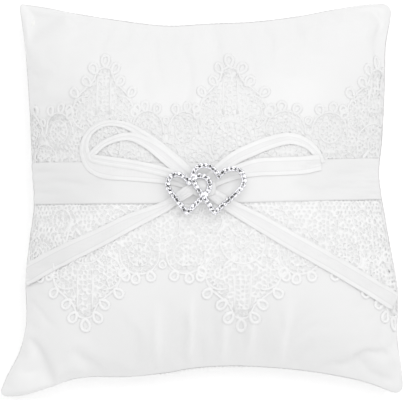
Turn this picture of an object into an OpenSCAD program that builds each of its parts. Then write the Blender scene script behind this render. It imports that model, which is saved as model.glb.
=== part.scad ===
// Ring bearer pillow: a small stuffed satin cushion that lies on its back.
// The front carries a wide lace band, a satin band, a ribbon bow and a
// buckle of two linked hearts set with stones.
// +Z is the front, +Y is the upper edge, and the origin is under the middle.

/* [Pillow] */
// Span across the two lower corners
pillow_w = 211; // [195:1:225]
// Span from the lower corners to the upper corners
pillow_h = 205; // [190:1:220]
// Height of the edge seam above the table
seam_z = 24; // [20:1:28]
// Rise of the front crown above the seam
front_rise = 36; // [30:1:42]
// Depth that the back would reach if the table did not flatten it
back_depth = 30; // [29:1:36]
// How far the upper left corner stands inside the lower left one
upper_left_inset = 10.5; // [0:0.5:14]
// How far the upper right corner stands inside the lower right one
upper_right_inset = 5.7; // [0:0.1:14]
// How far the upper edge pulls in between its corners
upper_pull = 11; // [4:0.5:14]
// How far the lower edge pulls in between its corners
lower_pull = 14; // [4:0.5:16]
// How far the left edge pulls in between its corners
left_pull = 11; // [4:0.5:14]
// How far the right edge pulls in where the bands draw it tight
right_pull = 9; // [4:0.5:12]
// Thickness of the satin cover
cover_t = 0.6; // [0.4:0.1:0.8]

/* [Lace] */
// Distance from one pointed motif to the next
lace_pitch = 82; // [70:1:95]
// Half height of the lace at a pointed motif
lace_tall = 72; // [60:1:76]
// Half height of the lace at the short scallops
lace_short = 46; // [38:1:52]
// Height of the lace's centre line above the pillow's middle
lace_y = 3.4; // [0:0.2:8]
// Thickness of the lace
lace_t = 0.7; // [0.4:0.1:1]

/* [Satin band] */
// Width of the satin band
band_w = 22; // [15:1:30]
// Height of the band's centre line above the pillow's middle
band_y = 9.2; // [5:0.2:12]
// Thickness of the satin band
band_t = 0.5; // [0.3:0.1:0.8]

/* [Bow] */
// Width of the sheer ribbon
ribbon_w = 10; // [7:0.5:12]
// Thickness of the sheer ribbon
ribbon_t = 0.4; // [0.3:0.1:0.6]
// Width of the knot, from its left end to its right end
knot_w = 9; // [7:0.5:11]
// Diameter of the knot
knot_d = 3.4; // [3:0.2:4.2]

/* [Hearts] */
// Width of the left heart's stone row
left_heart_w = 21.6; // [20:0.2:24]
// Width of the right heart's stone row
right_heart_w = 26.2; // [24:0.2:28]
// Diameter of one stone
stone_d = 2; // [1.6:0.1:2]
// Height of one stone above its cup
stone_h = 0.9; // [0.6:0.1:1.2]
// Height of the metal cups
cup_h = 1.2; // [1:0.1:2]
// Metal that each cup shows on either side of its stone
cup_rim = 0.4; // [0.3:0.05:0.5]

/* [Threads] */
// Diameter of the sewing thread
thread_d = 0.6; // [0.4:0.1:0.8]

/* [Hidden] */

white = "white";
sheer = "whitesmoke";
silver = "silver";

// Gap that keeps neighbouring layers apart
clear = 0.15;
// Cells across a panel, each way
panel_cells = 20;
// The share of the cover that the filling reaches
filling_reach = 0.97;
// The share of the cover that bands and ribbons reach before the side seam
seam_reach = 0.985;
// Fullness of the crown: smaller is plumper towards the seam
crown_power = 0.6;
// Where the side bands draw the right edge in, and over what share of it
cinch_v = 0.12;
cinch_span = 0.36;
// The share of that pull that is left well below the bands
cinch_rest = 0.15;
// How suddenly an edge springs back to its corners: larger is more sudden
corner_sharp = 8;
corner_firm = 4;
corner_even = 3;
corner_soft = 2.6;
corner_long = 1.7;
corner_straight = 1.2;
// The share of the pillow's span over which the lace's outline is drawn
lace_span = 0.92;

// Lift of each layer above the cover's front
lace_lift = clear;
band_lift = lace_lift + lace_t + clear;
ribbon_lift = band_lift + band_t + clear;
bow_lift = ribbon_lift + ribbon_t + clear;

// The knot's middle, and the places of the hearts
knot_at = [1.6, 5.5];
left_heart_at = [-6.4, 2.5];
right_heart_at = [8.3, 4.5];
left_heart_lean = -3.5;
right_heart_lean = -6.5;
left_stones = 30;
right_stones = 36;

// ---- Shape of the pillow ----

function mix(a, b, t) = a + (b - a) * t;

// 1 in the middle of an edge and 0 at its two corners
function pull(t, low_power, high_power) =
    1 - pow(abs(t), t < 0 ? low_power : high_power);

// The four edges, each along its own coordinate from -1 to 1
function left_x(v) = mix(-pillow_w / 2, upper_left_inset - pillow_w / 2, (v + 1) / 2)
    + left_pull * pull(v, corner_sharp, corner_soft);
function right_x(v) = mix(pillow_w / 2, pillow_w / 2 - upper_right_inset, (v + 1) / 2)
    - right_pull * cinch(v);
// The bands draw the right edge in at one height; below it springs back sooner
function cinch(v) = let (above = (v - cinch_v) / (1 - cinch_v), below = (cinch_v - v) / (cinch_v + 1))
    v > cinch_v ? 1 - pow(above, corner_straight)
    : mix(exp(-pow(below / cinch_span, 2)), 1, cinch_rest) * (1 - pow(below, corner_firm));
function lower_y(u) = -pillow_h / 2 + lower_pull * pull(u, corner_even, corner_firm);
function upper_y(u) = pillow_h / 2 - upper_pull * pull(u, corner_long, corner_long);

// The point in plan at u across and v up, each from -1 to 1
function plan(u, v) = [mix(left_x(v), right_x(v), (u + 1) / 2),
    mix(lower_y(u), upper_y(u), (v + 1) / 2)];

// The u and v of a point in plan, found in a few steps
function u_at(x, v) = 2 * (x - left_x(v)) / (right_x(v) - left_x(v)) - 1;
function v_at(y, u) = 2 * (y - lower_y(u)) / (upper_y(u) - lower_y(u)) - 1;
function refine(x, y, uv, steps) = steps == 0 ? uv :
    let (u = limit(u_at(x, uv[1])), v = limit(v_at(y, u)))
    refine(x, y, [u, v], steps - 1);
function limit(t) = max(-1, min(1, t));
function uv_of(x, y) = refine(x, y, [0, 0], 4);

// Height of the crown: 1 in the middle and 0 at the seam
function crown(u, v) = pow((1 - u * u) * (1 - v * v), crown_power);

function front_z(u, v) = seam_z + clear + cover_t
    + (front_rise - clear - cover_t) * crown(u, v);
function front_inner_z(u, v) = seam_z + clear
    + (front_rise - clear - cover_t - cover_t) * crown(u, v);
function back_z(u, v) = max(0, seam_z - clear - cover_t - back_depth * crown(u, v));
function back_inner_z(u, v) =
    max(cover_t, seam_z - clear - (back_depth - cover_t) * crown(u, v));

// A point in plan, moved in as far as the side seams if it lies past them
function inside(p) = let (uv = refine(p[0], p[1], [0, 0], 4), u = u_at(p[0], uv[1]))
    abs(u) < seam_reach ? p : plan(sign(u) * seam_reach, uv[1]);

// Height of the cover's front above a point in plan
function face_z(p) = let (uv = uv_of(p[0], p[1])) front_z(uv[0], uv[1]);

// Steps from -1 to 1 that crowd towards the ends
function edge_steps(cells) = [for (i = [0:cells]) -cos(180 * i / cells)];

// ---- Closed solids from two matching grids of points ----

// Two triangles for a four-cornered face
function split(a, b, c, d) = [[a, b, c], [a, c, d]];

module thick_grid(low, high) {
    rows = len(low);
    cols = len(low[0]);
    top = rows * cols;
    points = concat([for (row = low) each row], [for (row = high) each row]);
    function at(i, j) = i * cols + j;
    skins = [for (i = [0:rows - 2], j = [0:cols - 2])
        let (a = at(i, j), b = at(i + 1, j), c = at(i + 1, j + 1), d = at(i, j + 1))
        each concat(split(a, b, c, d), split(top + a, top + d, top + c, top + b))];
    sides = [for (i = [0:rows - 2])
        let (a = at(i, 0), b = at(i + 1, 0), c = at(i, cols - 1), d = at(i + 1, cols - 1))
        each concat(split(b, a, top + a, top + b), split(c, d, top + d, top + c))];
    ends = [for (j = [0:cols - 2])
        let (a = at(0, j), b = at(0, j + 1), c = at(rows - 1, j), d = at(rows - 1, j + 1))
        each concat(split(a, b, top + b, top + a), split(d, c, top + c, top + d))];
    polyhedron(points, concat(skins, sides, ends), convexity = 6);
}

// A layer that lies on the cover, over a grid of points in plan
module draped(grid, lift, thickness) {
    low = [for (row = grid) [for (p = row) [p[0], p[1], face_z(p) + lift]]];
    high = [for (row = low) [for (p = row) p + [0, 0, thickness]]];
    thick_grid(low, high);
}

// ---- The pillow itself ----

module front_panel() {
    steps = edge_steps(panel_cells);
    color(white)
    thick_grid(
        [for (u = steps) [for (v = steps) concat(plan(u, v), front_inner_z(u, v))]],
        [for (u = steps) [for (v = steps) concat(plan(u, v), front_z(u, v))]]);
}

module back_panel() {
    steps = edge_steps(panel_cells);
    color(white)
    thick_grid(
        [for (u = steps) [for (v = steps) concat(plan(u, v), back_z(u, v))]],
        [for (u = steps) [for (v = steps) concat(plan(u, v), back_inner_z(u, v))]]);
}

module fiber_filling() {
    steps = [for (t = edge_steps(panel_cells - 4)) t * filling_reach];
    color("ivory")
    thick_grid(
        [for (u = steps) [for (v = steps)
            concat(plan(u, v), back_inner_z(u, v) + clear)]],
        [for (u = steps) [for (v = steps)
            concat(plan(u, v), front_inner_z(u, v) - clear)]]);
}

// The edge, taken round anticlockwise and moved out by a little
function edge_point(side, t, out) =
    side == 0 ? plan(t, -1) + [out * t, -out] :
    side == 1 ? plan(1, t) + [out, out * t] :
    side == 2 ? plan(-t, 1) + [-out * t, out] :
    plan(-1, -t) + [-out, -out * t];

module edge_seam_thread() {
    steps = [for (t = edge_steps(14)) if (t < 1) t];
    loop = [for (side = [0:3]) for (t = steps) edge_point(side, t, thread_d)];
    count = len(loop);
    sides = 6;
    function ring(i) =
        let (ahead = loop[(i + 1) % count] - loop[(i + count - 1) % count],
            outward = [ahead[1], -ahead[0]] / norm(ahead))
        [for (k = [0:sides - 1]) let (a = 360 * k / sides)
            [loop[i][0] + outward[0] * cos(a) * thread_d / 2,
            loop[i][1] + outward[1] * cos(a) * thread_d / 2,
            seam_z + sin(a) * thread_d / 2]];
    function at(i, k) = (i % count) * sides + k % sides;
    color(white)
    polyhedron([for (i = [0:count - 1]) each ring(i)],
        [for (i = [0:count - 1], k = [0:sides - 1])
            each split(at(i, k), at(i, k + 1), at(i + 1, k + 1), at(i + 1, k))],
        convexity = 6);
}

// Short upright stitches across the seam, near the middle of the lower edge
module closing_stitches() {
    stitches = 12;
    opening = 0.4;
    color(white)
    for (i = [0:stitches - 1]) {
        u = opening * (i / (stitches - 1) - 0.5);
        spot = plan(u, -1) - [0, 2 * thread_d + clear];
        translate([spot[0], spot[1], seam_z])
            cylinder(d = thread_d, h = 2.4, center = true, $fn = 24);
    }
}

// ---- Lace and satin band ----

// Half height of the lace at a share of one repeat, 0 at a pointed motif
motif_half = 0.24;
function lace_half(share) = let (p = min(share, 1 - share))
    p < motif_half
    ? mix(lace_tall, lace_short + 2, pow(p / motif_half, 1.3))
    : lace_short - 2 + 4 * abs(sin(360 * (p - motif_half) / (1 - 2 * motif_half)));

function share_of(x, tip_x) = let (s = (x - tip_x) / lace_pitch) s - floor(s);

// A point of a band at a share across the pillow and a height in plan
function across(s, y) = let (u = 2 * s - 1)
    plan(u * seam_reach, v_at(y, u * seam_reach));

module lace_band() {
    columns = 66;
    rows = 8;
    upper_tip_x = 12.6;
    lower_tip_x = 20.5;
    grid = [for (i = [0:columns]) let (s = i / columns, x = pillow_w * lace_span * (s - 0.5),
        high = lace_y + lace_half(share_of(x, upper_tip_x)),
        low = lace_y - lace_half(share_of(x, lower_tip_x)))
        [for (j = [0:rows]) across(s, mix(low, high, j / rows))]];
    color(white) draped(grid, lace_lift, lace_t);
}

module satin_band() {
    columns = 32;
    rows = 4;
    grid = [for (i = [0:columns]) [for (j = [0:rows])
        across(i / columns, band_y + band_w * (j / rows - 0.5))]];
    color(white) draped(grid, band_lift, band_t);
}

// ---- Ribbons ----

// A smooth curve through a list of points, each a list of numbers
function curve_point(list, t) =
    let (last = len(list) - 1, i = min(floor(t), last - 1), f = t - i,
        a = list[max(i - 1, 0)], b = list[i], c = list[i + 1],
        d = list[min(i + 2, last)])
    0.5 * (2 * b + (c - a) * f + (2 * a - 5 * b + 4 * c - d) * f * f
        + (3 * b - a - 3 * c + d) * f * f * f);

// A ribbon along a route. Each point of the route holds x, y, the height
// above the cover, how far it leans from flat, and its share of the full width.
module ribbon(route, steps_per_leg) {
    count = (len(route) - 1) * steps_per_leg;
    across_cells = 3;
    stations = [for (i = [0:count]) curve_point(route, i / steps_per_leg)];
    function heading(i) = let (a = stations[max(i - 1, 0)],
        b = stations[min(i + 1, count)], d = [b[0] - a[0], b[1] - a[1]]) d / norm(d);
    function skin(offset) = [for (i = [0:count])
        let (s = stations[i], h = heading(i), side = [-h[1], h[0]], lean = s[3],
            half = ribbon_w * s[4] / 2)
        [for (j = [0:across_cells])
            let (k = 2 * j / across_cells - 1, shift = half * k * cos(lean),
                p = inside([s[0], s[1]] + side * (shift - offset * sin(lean))),
                base = face_z(inside([s[0], s[1]] + side * shift)))
            [p[0], p[1], base + s[2] + half * (k + 1) * sin(lean)
                + offset * cos(lean)]]];
    color(sheer) thick_grid(skin(0), skin(ribbon_t));
}

// Heights at which the tails and the bow start
tail = ribbon_lift;
bow = bow_lift;

tail_left_route = [[-4, 1, tail, 0, 0.4], [-18, -4, tail, 0, 0.6], [-35, -11, tail, 0, 0.85],
    [-52, -19, tail, 0, 1], [-70, -27.5, tail, 0, 1], [-91, -39, tail, 0, 1.1]];
tail_right_route = [[9, 0, tail, 0, 0.5], [17, -4, tail, 0, 0.7], [30, -11, tail, 0, 0.9],
    [48, -22, tail, 0, 0.95], [70, -34.5, tail, 0, 0.9], [98, -51, tail, 0, 0.9]];

left_outer_route = [[-4, 9.5, bow + 1, 60, 0.6], [-15, 19, bow, 75, 0.9], [-28, 32, bow, 78, 1],
    [-42, 38.5, bow, 78, 1], [-53, 36, bow, 75, 1], [-60, 27.5, bow, 60, 1],
    [-61, 20.5, bow, 40, 0.9]];
left_inner_route = [[-4.4, 5.5, bow + 2.4, 30, 0.6], [-17, 11, bow + 1.6, 10, 0.8],
    [-38, 15, bow + 1, 8, 1], [-54, 18.5, bow + 0.8, 15, 1]];
right_outer_route = [[6.6, 9, bow + 1, 30, 0.5], [18, 20, bow + 1, 15, 0.8],
    [32, 27, bow + 1, 10, 0.9], [45, 31, bow + 1, 20, 1], [55, 27, bow + 1, 45, 1],
    [61, 20, bow + 1, 60, 0.9]];
right_inner_route = [[7.6, 6.5, bow + 1, 20, 0.5], [20, 9.5, bow + 1, 8, 0.8],
    [36, 13, bow + 1, 5, 1], [52, 14.5, bow + 1, 5, 1]];

module ribbon_tail_left() { ribbon(tail_left_route, 4); }
module ribbon_tail_right() { ribbon(tail_right_route, 4); }
module bow_loop_left_outer() { ribbon(left_outer_route, 4); }
module bow_loop_left_inner() { ribbon(left_inner_route, 4); }
module bow_loop_right_outer() { ribbon(right_outer_route, 4); }
module bow_loop_right_inner() { ribbon(right_inner_route, 4); }

// The tack stitches stand this high between the satin band and the knot
tack_h = 0.5;
knot_z = face_z(knot_at) + band_lift + band_t + tack_h;

// The knot is a plump wrap whose axis runs along the bow
module bow_knot() {
    end_share = 0.8;
    color(sheer)
    translate([knot_at[0], knot_at[1], knot_z + knot_d / 2])
    rotate([0, 90, 0])
    union() {
        cylinder(d = knot_d, h = knot_w * 0.6, center = true, $fn = 48);
        for (end = [0, 180]) rotate([0, end, 0])
            translate([0, 0, knot_w * 0.3])
            cylinder(d1 = knot_d, d2 = knot_d * end_share, h = knot_w * 0.2, $fn = 48);
    }
}

// Three stitches under the knot that go down to the satin band
module bow_tack_thread() {
    color(white)
    for (side = [-1:1])
        translate([knot_at[0] + 2 * side, knot_at[1], knot_z - tack_h])
            cylinder(d = thread_d, h = tack_h, $fn = 24);
}

// ---- The buckle ----

// One half of the heart, one unit wide, from the notch round to the tip
half_heart = [[0, 0.7], [0.035, 0.75], [0.085, 0.8], [0.16, 0.852], [0.26, 0.88],
    [0.36, 0.865], [0.445, 0.805], [0.49, 0.72], [0.497, 0.63], [0.455, 0.52],
    [0.36, 0.395], [0.24, 0.26], [0.12, 0.13], [0, 0]];
heart_points = concat(half_heart,
    [for (i = [len(half_heart) - 2:-1:0]) [-half_heart[i][0], half_heart[i][1]]]);
heart_middle = [0, 0.44];

// The smooth outline at a share of its points
function heart(share) =
    curve_point(heart_points, share * (len(heart_points) - 1)) - heart_middle;

// The length along the outline against that share
heart_fine = 156;
heart_path = [for (i = [0:heart_fine]) heart(i / heart_fine)];
function run(i) = i == 0 ? 0 : run(i - 1) + norm(heart_path[i] - heart_path[i - 1]);
heart_table = [for (i = [0:heart_fine]) [run(i), i / heart_fine]];
heart_length = run(heart_fine);

function turn(p, a) = [p[0] * cos(a) - p[1] * sin(a), p[0] * sin(a) + p[1] * cos(a)];

// Places in plan of the evenly spaced cups of one heart
function cups(count, width, place, lean) = [for (i = [0:count - 1])
    place + turn(heart(lookup(heart_length * i / count, heart_table)) * width, lean)];

left_cups = cups(left_stones, left_heart_w, left_heart_at, left_heart_lean);
right_cups = cups(right_stones, right_heart_w, right_heart_at, right_heart_lean);

cup_d = stone_d + 2 * cup_rim;
left_z = knot_z + knot_d + clear;
right_z = left_z + cup_h;

module cup_row(places, z) {
    color(silver)
    for (p = places) translate([p[0], p[1], z])
        cylinder(d = cup_d, h = cup_h, $fn = 32);
}

// A stone is a short barrel with a bevelled crown
module stone_row(places, z) {
    girdle = 0.35;
    table = 0.55;
    color("lightcyan")
    for (p = places) translate([p[0], p[1], z]) {
        cylinder(d = stone_d, h = stone_h * girdle, $fn = 32);
        translate([0, 0, stone_h * girdle])
            cylinder(d1 = stone_d, d2 = stone_d * table, h = stone_h * (1 - girdle), $fn = 32);
    }
}

// Whether a cup of the left heart is clear of the right heart that crosses it
function uncovered(p) = min([for (q = right_cups) norm(p - q)]) > cup_d / 2 + stone_d / 2 + clear;

module heart_frame_left() { cup_row(left_cups, left_z); }
module heart_frame_right() { cup_row(right_cups, right_z); }
module heart_stones_left() {
    stone_row([for (p = left_cups) if (uncovered(p)) p], left_z + cup_h);
}
module heart_stones_right() { stone_row(right_cups, right_z + cup_h); }

front_panel();
back_panel();
fiber_filling();
edge_seam_thread();
closing_stitches();
lace_band();
satin_band();
ribbon_tail_left();
ribbon_tail_right();
bow_loop_left_outer();
bow_loop_left_inner();
bow_loop_right_outer();
bow_loop_right_inner();
bow_knot();
bow_tack_thread();
heart_frame_left();
heart_frame_right();
heart_stones_left();
heart_stones_right();
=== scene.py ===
"""Looks of a ring bearer pillow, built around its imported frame.

Lengths in this script are millimetres, as arrays of points, until mesh_piece() turns them into metres.
+X is right, +Y is the upper edge and +Z comes out of the decorated face."""
import math

import bpy
import numpy as np
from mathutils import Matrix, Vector
from mathutils.bvhtree import BVHTree
from mathutils.geometry import delaunay_2d_cdt


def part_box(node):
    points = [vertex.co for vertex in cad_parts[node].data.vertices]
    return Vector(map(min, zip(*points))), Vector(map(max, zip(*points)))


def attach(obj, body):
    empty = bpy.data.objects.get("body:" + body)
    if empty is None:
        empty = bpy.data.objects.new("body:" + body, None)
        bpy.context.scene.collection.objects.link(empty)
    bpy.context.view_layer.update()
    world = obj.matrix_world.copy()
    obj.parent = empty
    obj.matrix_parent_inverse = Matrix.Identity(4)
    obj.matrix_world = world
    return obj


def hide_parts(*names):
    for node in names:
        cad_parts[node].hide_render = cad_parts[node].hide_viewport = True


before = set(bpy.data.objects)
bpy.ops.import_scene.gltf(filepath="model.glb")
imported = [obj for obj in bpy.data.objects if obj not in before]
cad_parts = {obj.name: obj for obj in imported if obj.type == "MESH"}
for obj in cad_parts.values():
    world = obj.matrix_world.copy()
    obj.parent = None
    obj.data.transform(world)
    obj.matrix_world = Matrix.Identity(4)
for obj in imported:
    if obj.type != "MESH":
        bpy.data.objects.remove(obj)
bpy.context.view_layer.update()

scene = bpy.context.scene
MM = 0.001
TURN = 2 * math.pi
rng = np.random.default_rng(11)


# ---- sizes, from the frame

def box_mm(node):
    low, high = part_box(node)
    return np.array(low) / MM, np.array(high) / MM


front_low, front_high = box_mm("front_panel")
back_low, back_high = box_mm("back_panel")
lace_low, lace_high = box_mm("lace_band")
band_low, band_high = box_mm("satin_band")
HALF_W = front_high[0]
HALF_H = front_high[1]
SEAM_Z = (front_low[2] + back_high[2]) / 2
RISE = front_high[2] - SEAM_Z
DROP = SEAM_Z - back_low[2]
LACE_Y = (lace_low[1] + lace_high[1]) / 2
LACE_TALL = (lace_high[1] - lace_low[1]) / 2
BAND_Y = (band_low[1] + band_high[1]) / 2
BAND_W = band_high[1] - band_low[1]


# ---- meshes

def add_object(name, data):
    thing = bpy.data.objects.new(name, data)
    scene.collection.objects.link(thing)
    return thing


def mesh_piece(node, points_mm, faces, material, across=None, faceted=False):
    """A piece in the place of the CAD node of that name, from points in mm. across is a number that the
    materials read: one per point, or one per face where the piece is faceted."""
    mesh = bpy.data.meshes.new(node)
    mesh.from_pydata((np.asarray(points_mm) * MM).tolist(), [], [list(map(int, f)) for f in faces])
    mesh.validate()
    mesh.update()
    if not faceted:
        mesh.shade_smooth()
    if across is not None:
        # On the cover and the lace, across lightens the colour as a painted highlight; on the metal and
        # stones it picks painted reflection and glint tones
        layer = mesh.attributes.new("across", "FLOAT", "FACE" if faceted else "POINT")
        layer.data.foreach_set("value", np.asarray(across, np.float32))
    mesh.materials.append(material)
    piece = add_object(node, mesh)
    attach(piece, "root")
    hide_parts(node)
    # A material is named after its slot; Blender adds a number where that name is taken
    return piece


def unit(vectors):
    return vectors / np.linalg.norm(vectors, axis=-1, keepdims=True).clip(1e-9)


def leftward(headings):
    """The directions square to headings in plan, on their left."""
    return np.stack([-headings[:, 1], headings[:, 0]], axis=1)


def outer_ring(grid):
    """The outermost entries of a grid, once round."""
    return np.concatenate([grid[:-1, 0], grid[-1, :-1], grid[:0:-1, -1], grid[0, :0:-1]])


def grid_faces(rows, cols, offset=0, flip=False):
    i, j = np.meshgrid(np.arange(rows - 1), np.arange(cols - 1), indexing="ij")
    a = (i * cols + j).ravel() + offset
    quads = np.stack([a, a + cols, a + cols + 1, a + 1], axis=1)
    return quads[:, ::-1] if flip else quads


def thick_grid(low, high):
    """A closed sheet between two matching grids of points, each rows by cols by 3."""
    rows, cols = low.shape[:2]
    count = rows * cols
    points = np.concatenate([low.reshape(-1, 3), high.reshape(-1, 3)])
    index = np.arange(count).reshape(rows, cols)
    rim = outer_ring(index)
    ahead = np.roll(rim, -1)
    sides = np.stack([ahead, rim, rim + count, ahead + count], axis=1)
    faces = np.concatenate([grid_faces(rows, cols), grid_faces(rows, cols, count, flip=True), sides])
    return points, faces


def tube_faces(rings, sides, offset=0):
    """Faces along a tube of rings of points, capped at each end."""
    index = offset + np.arange(rings * sides).reshape(rings, sides)
    near, far = index[:-1], index[1:]
    quads = np.stack([near, np.roll(near, -1, 1), np.roll(far, -1, 1), far], axis=-1).reshape(-1, 4)
    return quads.tolist() + [index[0][::-1].tolist(), index[-1].tolist()]


def spline(points, t):
    """Catmull-Rom through a list of points, at the values t from 0 to 1 along it."""
    p = np.asarray(points, float)
    last = len(p) - 1
    t = np.clip(np.asarray(t) * last, 0, last - 1e-9)
    i = t.astype(int)
    f = (t - i)[:, None]
    a, b, c, d = p[np.maximum(i - 1, 0)], p[i], p[i + 1], p[np.minimum(i + 2, last)]
    return 0.5 * (2 * b + (c - a) * f + (2 * a - 5 * b + 4 * c - d) * f ** 2
                  + (3 * b - a - 3 * c + d) * f ** 3)


def run_along(line):
    """How far along a line of points each of them lies."""
    return np.concatenate([[0], np.cumsum(np.linalg.norm(np.diff(line, axis=0), axis=1))])


def at_run(s, run, columns):
    """Points or directions at the distances s along a line."""
    return np.stack([np.interp(s, run, column) for column in np.transpose(columns)], axis=1)


def smooth_table(table, t):
    """A smooth curve through (place, value) pairs, at places t."""
    place, value = np.array(table, float).T
    slope = np.gradient(value, place)
    i = np.clip(np.searchsorted(place, t) - 1, 0, len(place) - 2)
    h = place[i + 1] - place[i]
    f = (t - place[i]) / h
    return ((2 * f ** 3 - 3 * f ** 2 + 1) * value[i] + (f ** 3 - 2 * f ** 2 + f) * h * slope[i]
            + (3 * f ** 2 - 2 * f ** 3) * value[i + 1] + (f ** 3 - f ** 2) * h * slope[i + 1])


# ---- materials

def set_sockets(node, **values):
    """Sets inputs by their names, with _ for a space, or links them where the value is a socket."""
    for name, value in values.items():
        socket = node.inputs[name.replace("_", " ")]
        if isinstance(value, bpy.types.NodeSocket):
            node.id_data.links.new(value, socket)
        else:
            socket.default_value = value
    return node


def add_node(nodes, kind, settings=(), **values):
    node = nodes.new("ShaderNode" + kind)
    for name, value in dict(settings).items():
        setattr(node, name, value)
    return set_sockets(node, **values)


def new_material(slot, **finish):
    """A material, its nodes, and its shader with the finish set on it."""
    material = bpy.data.materials.new(slot)
    material.use_nodes = True
    nodes = material.node_tree.nodes
    return material, nodes, set_sockets(nodes["Principled BSDF"], **finish)


def grey(value, blue=1.0):
    return value, value, min(1, value * blue)


def ramp(nodes, source, steps, interpolation="LINEAR"):
    """Colours picked by a number; steps are (place, colour)."""
    node = add_node(nodes, "ValToRGB", Fac=source)
    node.color_ramp.interpolation = interpolation
    for number, (place, colour) in enumerate(steps):
        step = node.color_ramp.elements[number] if number < 2 else node.color_ramp.elements.new(place)
        step.position = place
        step.color = (*colour, 1)
    return node.outputs["Color"]


def across_number(nodes):
    return add_node(nodes, "Attribute", {"attribute_name": "across"}).outputs["Fac"]


def own_place(nodes):
    return add_node(nodes, "TexCoord").outputs["Object"]


def mottle(nodes, low, high, size, detail=3.0):
    """A colour that drifts between two close tones over patches of the given size in mm."""
    noise = add_node(nodes, "TexNoise", Vector=own_place(nodes), Scale=1 / (size * MM), Detail=detail)
    return ramp(nodes, noise.outputs["Fac"], ((0.3, low), (0.7, high)))


def mix_colours(nodes, first, second, factor=1.0, how="MIX"):
    settings = {"data_type": "RGBA", "blend_type": how}
    return add_node(nodes, "Mix", settings, A=first, B=second, Factor=factor).outputs["Result"]


def mix_shaders(nodes, first, second, factor):
    mix = add_node(nodes, "MixShader", Fac=factor)
    for number, shader in enumerate((first, second)):
        mix.id_data.links.new(shader.outputs[0], mix.inputs[number + 1])
    return mix


def add_weave(nodes, shader, pitch, strength, twill=0.0):
    """Bump of fine crossed threads in the object's own space; pitch in mm."""
    turned = add_node(nodes, "Mapping", Vector=own_place(nodes), Rotation=(0, 0, twill))
    crossed = add_node(nodes, "Math", {"operation": "MULTIPLY"})
    for number, direction in enumerate("XY"):
        wave = add_node(nodes, "TexWave", {"bands_direction": direction}, Vector=turned.outputs["Vector"],
                        Scale=0.31 / (pitch * MM) / 2, Distortion=0.4)
        wave.id_data.links.new(wave.outputs["Fac"], crossed.inputs[number])
    bump = add_node(nodes, "Bump", Height=crossed.outputs[0], Strength=strength, Distance=pitch * MM * 0.4)
    set_sockets(shader, Normal=bump.outputs["Normal"])


def cloth_material(slot, low, high, roughness, sheen, weave_pitch, weave_strength, twill=0.0):
    """Woven cloth. Where its surface carries an across number, the colour is lightened there: a painted
    highlight on crests.
    """
    material, nodes, shader = new_material(slot, Roughness=roughness, Specular_IOR_Level=0.35,
                                           Sheen_Weight=sheen, Sheen_Roughness=0.35)
    dull = mottle(nodes, low, high, 25)
    # The across number lightens the base colour towards 0.93: painted highlight on fold crests and raised
    # lace threads
    set_sockets(shader, Base_Color=mix_colours(nodes, dull, (0.93, 0.93, 0.93, 1), across_number(nodes)))
    add_weave(nodes, shader, weave_pitch, weave_strength, twill)
    return material


def organza_material():
    """Sheer cloth that lets some light through, closer and with a fine line beside its edges. across is the
    distance from the ribbon's middle, 1 at its edges."""
    material, nodes, shader = new_material("sheer_ribbon", Roughness=0.34, Specular_IOR_Level=0.5)
    across = across_number(nodes)
    line = ramp(nodes, across, ((0.52, grey(1.0)), (0.57, grey(0.9)), (0.63, grey(1.0))))
    white = mottle(nodes, grey(0.93), grey(0.96), 12)
    set_sockets(shader, Base_Color=mix_colours(nodes, white, line, how="MULTIPLY"))
    add_weave(nodes, shader, 0.35, 0.35)
    glow = add_node(nodes, "BsdfTranslucent", Color=(0.97, 0.97, 0.97, 1))
    cloth = mix_shaders(nodes, shader, glow, 0.12)
    closeness = ramp(nodes, across, ((0.56, grey(0.9)), (0.62, grey(0.96))))
    sheer = mix_shaders(nodes, add_node(nodes, "BsdfTransparent"), cloth, closeness)
    set_sockets(nodes["Material Output"], Surface=sheer.outputs["Shader"])
    return material


def face_tones(nodes, *steps):
    """Flat tones picked by each face's own number; steps are (place, grey)."""
    steps = [(place, grey(tone, 1.02)) for place, tone in steps]
    return ramp(nodes, across_number(nodes), steps, "CONSTANT")


def metal_material():
    material, nodes, shader = new_material("silver_plating", Metallic=1.0, Roughness=0.2)
    tarnish = mottle(nodes, (0.86, 0.86, 0.88), (0.97, 0.97, 0.99), 1.5)
    # Each face's number picks a flat tone from dark to bright: painted reflections and glints on the metal
    painted_reflection_tones = face_tones(nodes, (0.0, 0.07), (0.16, 0.38), (0.33, 0.82))
    set_sockets(shader, Base_Color=mix_colours(nodes, tarnish, painted_reflection_tones, how="MULTIPLY"))
    return material


def stone_material():
    """Cut glass on mirror foil: each facet gets its own flat tone from dark to bright, painted glints and
    dark reflections, so that the row glitters.
    """
    material, nodes, shader = new_material("rhinestone", Metallic=0.2, Roughness=0.08, Coat_Weight=0.5,
                                           Coat_Roughness=0.02, IOR=1.6)
    set_sockets(shader, Base_Color=face_tones(nodes, (0.0, 0.01), (0.24, 0.4), (0.36, 0.92)))
    return material


def fiber_material():
    material, nodes, shader = new_material("polyester_fiber", Roughness=0.9, Sheen_Weight=0.6)
    set_sockets(shader, Base_Color=mottle(nodes, (0.82, 0.82, 0.8), (0.95, 0.95, 0.93), 2, 8))
    return material


COVER = cloth_material("cover_satin", grey(0.825), grey(0.84), 0.36, 0.03, 0.3, 0.12)
LACE = cloth_material("lace", grey(0.8), grey(0.845), 0.65, 0.0, 0.45, 0.5, 0.6)
RIBBON_SATIN = cloth_material("ribbon_satin", grey(0.8), grey(0.82), 0.36, 0.04, 0.3, 0.15)
THREAD = cloth_material("sewing_thread", (0.86, 0.86, 0.85), (0.92, 0.92, 0.91), 0.55, 0.2, 0.25, 0.5, 0.7)
SHEER = organza_material()
SILVER = metal_material()
STONE = stone_material()
FIBER = fiber_material()


# ---- outline of the pillow

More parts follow.
